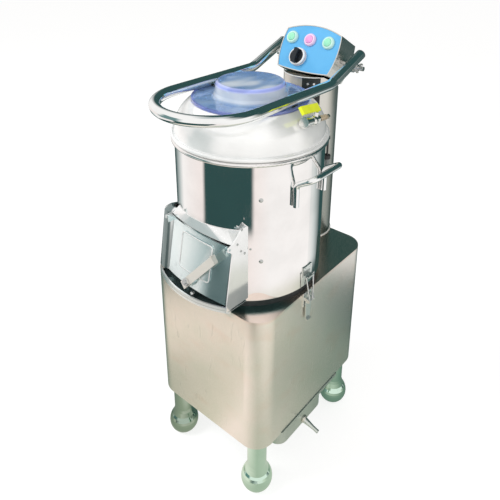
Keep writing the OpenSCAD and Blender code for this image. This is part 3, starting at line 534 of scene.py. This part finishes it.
# Rivets hold the liner inside the drum, and their rounded heads show outside. Each
# row is a bearing in degrees, a height and a size against the plain head.
drum_radius = 0.157
rivet_rows = ((-42.0, 0.7426, 1.5), (-41.5, 0.6074, 1.5), (-49.1, 0.6365, 0.8),
              (138.0, 0.7426, 1.5), (138.5, 0.6074, 1.5))
rivets = bmesh.new()
for degrees, high, size in rivet_rows:
    out = Vector((math.cos(math.radians(degrees)), math.sin(math.radians(degrees)), 0))
    turned(rivets, [(0.0030 * size, -0.0003), (0.0030 * size, 0.0003), (0.0022 * size, 0.0009),
                    (0.0011 * size, 0.0012), (0, 0.0013)],
           facing(out * drum_radius + Vector((0, axis_y, high)), out), steps=20)
rivet_steel = bright_steel("rivet_steel", (0.56, 0.58, 0.57), 0.18)
piece("drum_rivets", rivets, rivet_steel, "frame")


def bonded_grit(name, tone):
    """Coarse abrasive grains in a grey bond."""
    made = Finish(name)
    grains = made.node("TexVoronoi", (), {"Vector": made.place(), "Scale": 420.0})
    patches = made.grain(0.04, 4.0)
    tint = made.mix(grains.to(0.05, 0.6), tuple(c * 1.6 for c in tone), tone)
    tint = made.mix(patches.to(0.4, 0.7, 0, 0.5), tint, tuple(c * 0.55 for c in tone))
    return made.close(made.node("BsdfPrincipled", (), {
        "Base Color": tint, "Roughness": patches.to(0.3, 0.8, 0.75, 0.95),
        "Normal": made.relief(1.0 - grains, 0.0012, 0.9)}))


dress(bonded_grit("bonded_grit", (0.12, 0.13, 0.14)), "abrasive_liner", "abrasive_disc")


# ---------------------------------------------------------------- handles
# Bent rods on both sides lift the drum off the cabinet. Their feet are welded to
# the drum, with a thin upright bead of weld on each side of a foot.
tube_steel = bright_steel("tube_steel", (0.95, 0.96, 0.96), 0.07)
dress(tube_steel, "side_handles")


def rod(shape, path, radius, sides=10, closed=False):
    """Adds a round rod along a path of points."""
    count, rings, across = len(path), [], None
    for i, point in enumerate(path):
        before = path[i - 1] if closed or i else point
        after = path[(i + 1) % count] if closed or i < count - 1 else point
        heading = (after - before).normalized()
        across = across or heading.orthogonal()
        across = (across - heading * across.dot(heading)).normalized()
        over = heading.cross(across)
        rings.append([shape.verts.new(point + radius * (
            math.cos(2 * math.pi * k / sides) * across
            + math.sin(2 * math.pi * k / sides) * over)) for k in range(sides)])
    for one, two in zip(rings, rings[1:] + rings[:1] if closed else rings[1:]):
        for k in range(sides):
            shape.faces.new((one[k - 1], one[k], two[k], two[k - 1]))
    if not closed:
        shape.faces.new(rings[0])
        shape.faces.new(rings[-1])


rod_bearing, weld_spread, weld_radius = math.radians(17), 0.030, drum_radius + 0.0004
weld_foot, weld_step, weld_points, weld_rod = 0.721, 0.0032, 11, 0.0013
welds = bmesh.new()
for side_sign in (1, -1):
    for swing in (rod_bearing - weld_spread, rod_bearing + weld_spread):
        for y_sign in (1, -1):
            seam = [Vector((side_sign * weld_radius * math.cos(swing),
                            axis_y + y_sign * weld_radius * math.sin(swing),
                            weld_foot + weld_step * k)) for k in range(weld_points)]
            rod(welds, seam, weld_rod, sides=8)
weld_steel = bright_steel("weld_steel", (0.50, 0.51, 0.49), 0.3, 0.0004)
piece("handle_welds", welds, weld_steel, "frame")


# ---------------------------------------------------------------- dome
# A spun steel dome closes the drum and narrows to the mouth that the potatoes go
# in by. Its foot is beaded over the drum's rim.
dome_steel = bright_steel("dome_steel", (0.99, 1.0, 1.0), 0.15, metal=0.30)
dress(dome_steel, "dome_cover")
dress(black_rubber, "mouth_seal")


# ---------------------------------------------------------------- lift loop
# A bent steel tube carries the lid. It turns on two studs in the control head,
# and wing nuts clamp it there.
dress(tube_steel, "lift_loop")
dress(black_plastic, "loop_end_caps")
dress(screw_steel, "pivot_studs", "wing_nut_right", "wing_nut_left")


# ---------------------------------------------------------------- lid
# A clear moulded lid with a raised crown covers the dome's mouth, and two brackets
# hang it from the loop. It is tinted blue and milky in patches. A darker violet
# painted reflection lies at its brim and at the crown's edge, and a whitish painted
# highlight on the crown's wall and across its top, where the lid is also milkier.

# Each band is a pair of radii or heights over which a tint comes in or goes.
brim_band, crown_edge, crown_high = (0.111, 0.120), (0.060, 0.070), (0.921, 0.927)
wall_in, wall_out, wall_high, top_high = (
    (0.062, 0.068), (0.080, 0.086), (0.900, 0.906), (0.922, 0.928))
lid_finish = Finish("clear_lid")
haze = lid_finish.grain(0.05, 3.0)
across, back, above = lid_finish.along(lid_finish.place())
from_axis = from_drum_axis(lid_finish, across, back - axis_y)
# The brim and the crown's edge take a darker violet painted reflection.
painted_edge_reflection = from_axis.to(*brim_band) + above.to(*crown_high) * from_axis.to(*crown_edge)
lid_tint = lid_finish.mix(haze.to(0.3, 0.7), (0.36, 0.60, 1.0), (0.52, 0.72, 1.0))
# The crown's wall and a streak across its top take a whitish painted highlight.
wall = from_axis.to(*wall_in) * from_axis.to(*wall_out, 1, 0) * above.to(*wall_high)
painted_top_highlight = lid_finish.grain(0.05, 1.0, (1, 2.5, 1)).to(0.46, 0.60) * above.to(*top_high)
lid_tint = lid_finish.mix(wall * 0.75 + painted_top_highlight * 0.8, lid_tint, (0.90, 0.95, 1.0))
lid_tint = lid_finish.mix(painted_edge_reflection, lid_tint, (0.36, 0.44, 0.92))
scuffs = lid_finish.grain(0.004, 4.0, (1, 5, 1)).to(0.6, 0.75)
swirl = lid_finish.relief(haze, 0.003, 0.5)
lid_clear = lid_finish.node("BsdfPrincipled", (), {
    "Base Color": lid_tint, "Roughness": scuffs.to(0, 1, 0.03, 0.2), "IOR": 1.49,
    "Transmission Weight": 1.0, "Normal": swirl})
lid_milk = lid_finish.node("BsdfPrincipled", (), {
    "Base Color": lid_tint, "Roughness": 0.08, "Coat Weight": 0.6, "Normal": swirl})
milky = haze.to(0.2, 0.9, 0.38, 0.52) + painted_top_highlight * 0.4 + wall * 0.3
lid_look = lid_finish.node("MixShader", (), {0: milky, 1: lid_clear, 2: lid_milk})
dress(lid_finish.close(lid_look), "clear_lid")
dress(screw_steel, "lid_brackets")


# ---------------------------------------------------------------- lid switch
# A small switch at the drum's back stops the motor when the dome comes off. It
# has a black cap on a grey body.
cap_foot = 0.750


def switch_cap(made):
    """1 on the black cap and 0 on the grey body."""
    return made.along(made.place())[2].to(cap_foot, cap_foot + 0.002)


dress(moulded("switch_plastic", (0.20, 0.22, 0.22), 0.4, where=switch_cap,
              patch=(0.018, 0.02, 0.022)), "interlock")


# ---------------------------------------------------------------- column
# A round-fronted column of brushed sheet stands behind the drum and carries the
# control head. Low down, beside the drum, it is painted darker and greener as shade.
def painted_low_shade(made):
    """How far the painted shade darkens a point of the column: 0 to 1."""
    return made.along(made.place())[2].to(0.60, 0.86, 0.85, 0)


# The column's darker lower part is painted shade.
column_steel = brushed_sheet("column_sheet", (0.76, 0.73, 0.68), (0.70, 0.69, 0.64), 0.3,
                             level_brush, painted_low_shade, (0.20, 0.23, 0.20))
dress(column_steel, "column")
dress(plain_steel, "column_cover")
column_y, column_radius = 0.186, 0.0637


def arc(radius, first, last, high, count=40):
    """Points round the column's axis between two bearings in degrees."""
    angles = [math.radians(first + (last - first) * k / (count - 1)) for k in range(count)]
    return [Vector((radius * math.cos(a), column_y + radius * math.sin(a), high))
            for a in angles]


# The column's top edge is rolled to a bead, and its foot is welded to the deck. Both
# have a whitish, partly matt finish that is a painted highlight. Each seam runs
# between two bearings, where -90 is the front.
rolled_bearings, rolled_high, rolled_rod = (-141, -39), 0.9068, 0.0011
foot_radius, foot_high, foot_rod = column_radius + 0.0005, deck_high + 0.0006, 0.0021
foot_bearings = ((-58, 52), (-232, -122))
seams = bmesh.new()
rod(seams, arc(column_radius, *rolled_bearings, rolled_high), rolled_rod)
for bearings in foot_bearings:
    rod(seams, arc(foot_radius, *bearings, foot_high), foot_rod)
seam_painted_highlight = bright_steel("seam_painted_highlight", (0.95, 0.95, 0.92), 0.25, 0.0002, metal=0.4)
piece("column_seams", seams, seam_painted_highlight, "frame")

# A thin black plate on the column's front, just under the head, is painted shade.
plate_heights, plate_radii, plate_bearings = (0.804, 0.9055), (0.0641, 0.0649), (-74, -37)
plate_points = 16
plate = bmesh.new()
inside, outside = [[plate.verts.new(point) for high in plate_heights
                    for point in arc(radius, *plate_bearings, high, plate_points)]
                   for radius in plate_radii]
for k in range(plate_points - 1):
    foot, head = k, k + plate_points
    for ring in (outside, inside):
        plate.faces.new((ring[foot], ring[foot + 1], ring[head + 1], ring[head]))
    for one in (foot, head):
        plate.faces.new((inside[one], inside[one + 1], outside[one + 1], outside[one]))
for k in (0, plate_points - 1):
    plate.faces.new((inside[k], outside[k], outside[k + plate_points],
                     inside[k + plate_points]))
piece("neck_painted_shade", plate, painted("painted_shade_black", (0.012, 0.018, 0.018), 0.3), "frame")


# ---------------------------------------------------------------- control head
# A box of the same sheet leans back on the column. Its front is an aluminium plate
# under a sky blue printed film.
head_steel = brushed_sheet("head_sheet", (0.82, 0.80, 0.76), (0.70, 0.71, 0.68), 0.22,
                           upright_brush)
dress(head_steel, "head_shell")
dress(plain_steel, "head_rear_cover")
film = Finish("panel_film")
film_fine = film.grain(0.0006, 2.0)
film_cloud = film.grain(0.05, 2.0)
film_tint = film.mix(film_cloud.to(0.3, 0.7), (0.115, 0.45, 0.81), (0.14, 0.49, 0.85))
dress(film.close(film.node("BsdfPrincipled", (), {
    "Base Color": film_tint, "Roughness": film_fine.to(0.2, 0.8, 0.4, 0.5),
    "Normal": film.relief(film_fine, 0.00006, 0.4)})), "front_panel")


# ---------------------------------------------------------------- buttons
# Three round push buttons of the common lamp kind, each in a tinted bezel: start
# and drain in green, and stop in pink between them.
def middle_button(made):
    """1 at the middle button and 0 at the outer two."""
    across = made.along(made.place())[0]
    return across.to(-0.029, -0.027) * across.to(0.020, 0.022, 1, 0)


dress(moulded("bezel_plastic", (0.60, 0.90, 0.81), 0.22, 0.4, where=middle_button,
              patch=(0.95, 0.68, 0.91)), "button_bezels")
dress(moulded("green_lens", (0.36, 0.86, 0.60), 0.16, 0.6, 0.3), "button_start",
      "button_drain")
dress(moulded("pink_lens", (0.93, 0.42, 0.78), 0.16, 0.6, 0.3), "button_stop")


# ---------------------------------------------------------------- timer
# A black knob with a grip bar sets the time. It has a thin white skirt that turns
# with it over the timer's pale body.
panel_middle, panel_lean, knob_place = (0, 0.168, 0.956), 61.5, (-0.020, -0.018, 0)
panel_place = Matrix.Translation(panel_middle) @ Matrix.Rotation(
    math.radians(panel_lean), 4, "X")
dress(moulded("timer_plastic", (0.90, 0.89, 0.94), 0.3), "timer_body")
dress(moulded("knob_black", (0.008, 0.012, 0.018), 0.42), "timer_knob")
skirt_profile = [(0.0171, 0.0052), (0.0171, 0.0088), (0.0196, 0.0088), (0.0203, 0.0080),
                 (0.0206, 0.0052)]
skirt = bmesh.new()
turned(skirt, skirt_profile, panel_place @ Matrix.Translation(knob_place), steps=48,
       closed=True)
piece("knob_skirt", skirt, moulded("skirt_white", (0.95, 0.96, 0.97), 0.3, 0.3),
      "timer_knob")


# ---------------------------------------------------------------- chute
# The peeled potatoes leave by a chute on the drum's front: a rounded end on the
# -X side, a flat cheek on the +X side, and a sloping roof over the door.
def shaded_end(made):
    """The rounded end lies in the drum's shade: 0 to 1."""
    across = made.along(made.place())[0]
    return across.to(-0.119, -0.115) * across.to(-0.095, -0.091, 1, 0) * 0.85


chute_steel = bright_steel("chute_steel", (0.93, 0.94, 0.94), 0.10, 0.0001, where=shaded_end,
                           patch=(0.06, 0.12, 0.12), metal=0.62)
dress(chute_steel, "outlet_frame")


# ---------------------------------------------------------------- tray
# A tray with an upstanding lip closes the chute below the door. Its floor lies in
# the door's shade.
tray_floor_high = 0.516


def tray_floor(made):
    """1 on the tray's floor and 0 on its lip."""
    above = made.along(made.place())[2]
    return above.to(tray_floor_high - 0.0005, tray_floor_high - 0.0001) * above.to(
        tray_floor_high + 0.0001, tray_floor_high + 0.0005, 1, 0)


tray_steel = bright_steel("tray_steel", (0.95, 0.97, 0.97), 0.09, 0.0001, where=tray_floor,
                          patch=(0.07, 0.12, 0.12), metal=0.7)
dress(tray_steel, "outlet_tray")


# ---------------------------------------------------------------- door
# The discharge door is a curved plate that leans back and hangs from the chute's
# top edge. A dark teal painted reflection covers its +X half, broken by one lighter
# streak and fading near its foot.
def painted_door_reflection(made):
    """How dark the painted reflection makes a point of the door: 0 to 1."""
    across, above = made.along(made.place())[::2]
    slant = across - (above - 0.58) * 0.35
    streak = slant.to(0.012, 0.028) * slant.to(0.030, 0.046, 1, 0)
    foot = above.to(0.535, 0.575, 0.8, 0) * across.to(-0.02, 0.06, 1, 0)
    return slant.to(-0.050, 0.035, 0, 0.9) * (1.0 - streak * 0.75) * (1.0 - foot)


# The door's dark teal +X half is a painted reflection.
door_steel = brushed_sheet("door_sheet", (0.90, 0.98, 0.98), (0.80, 0.92, 0.93), 0.16,
                           level_brush, painted_door_reflection, (0.40, 0.56, 0.58), 0.86)
dress(door_steel, "outlet_door")
dress(black_rubber, "door_gasket")

# The door's bend radius, where along it the bend crests, and its foot's place, all in
# millimetres.
door_bend, door_crest, door_foot_y, door_foot_z = 380, 15.5, -187.4, 517
door_lean, chute_bearing = math.radians(-10.5), math.radians(-3)


def on_door(u, w, out):
    """A point on the door's curved skin, from its place along, up and out of it in mm."""
    back = (door_bend - out) - math.sqrt(door_bend ** 2 - (u - door_crest) ** 2)
    y = door_foot_y + back * math.cos(door_lean) - w * math.sin(door_lean)
    z = door_foot_z + back * math.sin(door_lean) + w * math.cos(door_lean)
    on_chute = Matrix.Rotation(chute_bearing, 3, "Z") @ Vector((u, y, z))
    return on_chute / 1000 + Vector((0, axis_y, 0))


# A raised bead is pressed round the middle of the door to stiffen it. Each corner is
# its middle along and up the door, and the bearing where its quarter turn begins.
bead_corners = ((51, 56, -90), (51, 121, 0), (-25, 121, 90), (-25, 56, 180))
corner_radius, corner_steps, step_length, bead_out, bead_rod = 6, 6, 6, 2.2, 0.0015
corners = []
for u_middle, w_middle, first in bead_corners:
    for k in range(corner_steps + 1):
        a = math.radians(first + 90 * k / corner_steps)
        corners.append((u_middle + corner_radius * math.cos(a),
                        w_middle + corner_radius * math.sin(a)))
bead_path = []
for (u0, w0), (u1, w1) in zip(corners, corners[1:] + corners[:1]):
    steps = max(1, int(math.hypot(u1 - u0, w1 - w0) / step_length))
    bead_path += [on_door(u0 + (u1 - u0) * k / steps, w0 + (w1 - w0) * k / steps, bead_out)
                  for k in range(steps)]
bead = bmesh.new()
rod(bead, bead_path, bead_rod, closed=True)
piece("door_bead", bead, bright_steel("bead_steel", (0.95, 0.96, 0.96), 0.12, metal=0.6),
      "door")


# ---------------------------------------------------------------- cheek screws
# Three small screws with rounded heads belong to the chute's flat cheek. They stand in
# a loose triangle near its top, close to the drum, about 5 mm off its face.
cheek_x, screw_places = 0.1035, ((-0.174, 0.692), (-0.1865, 0.666), (-0.1665, 0.637))
screw_profile = [(0.0024, -0.0006), (0.0024, 0.0006), (0.0017, 0.0013), (0, 0.0014)]
cheek_heading = (math.cos(chute_bearing), math.sin(chute_bearing), 0)
screws = bmesh.new()
for y, z in screw_places:
    turned(screws, screw_profile, facing((cheek_x, y, z), cheek_heading), steps=16)
piece("cheek_screws", screws, rivet_steel, "frame")


# ---------------------------------------------------------------- door lever
# A flat brushed lever on the door's outside turns on a bolt and locks the door
# behind the stud on the tray.
lever_brush = (0.05, 1, 1)
lever_steel = brushed_sheet("lever_sheet", (0.92, 0.88, 0.81), (0.86, 0.83, 0.77), 0.36,
                            lever_brush, metal=0.55)
dress(lever_steel, "door_lever")
dress(screw_steel, "lever_bolt", "latch_stud")


# ---------------------------------------------------------------- valve
# Water comes in at the dome through a nickel plated ball valve with a dipped
# yellow lever and a brass barb for the hose.
dress(bright_steel("nickel_plate", (0.86, 0.85, 0.82), 0.16), "water_valve")
dress(bright_steel("hose_brass", (0.74, 0.68, 0.58), 0.18), "hose_barb")
dress(moulded("lever_dip", (0.83, 0.92, 0.03), 0.4), "valve_lever")


# ---------------------------------------------------------------- latches
# A toggle latch on each side holds the drum down on the cabinet: a keeper on the
# drum, and a base, a lever and a wire bail on the cabinet.
latch_steel = bright_steel("latch_steel", (0.84, 0.87, 0.85), 0.18, metal=0.85)
dress(latch_steel, "latch_keepers", "latch_bases", "latch_lever_right", "latch_lever_left")
dress(screw_steel, "latch_bail_right", "latch_bail_left")
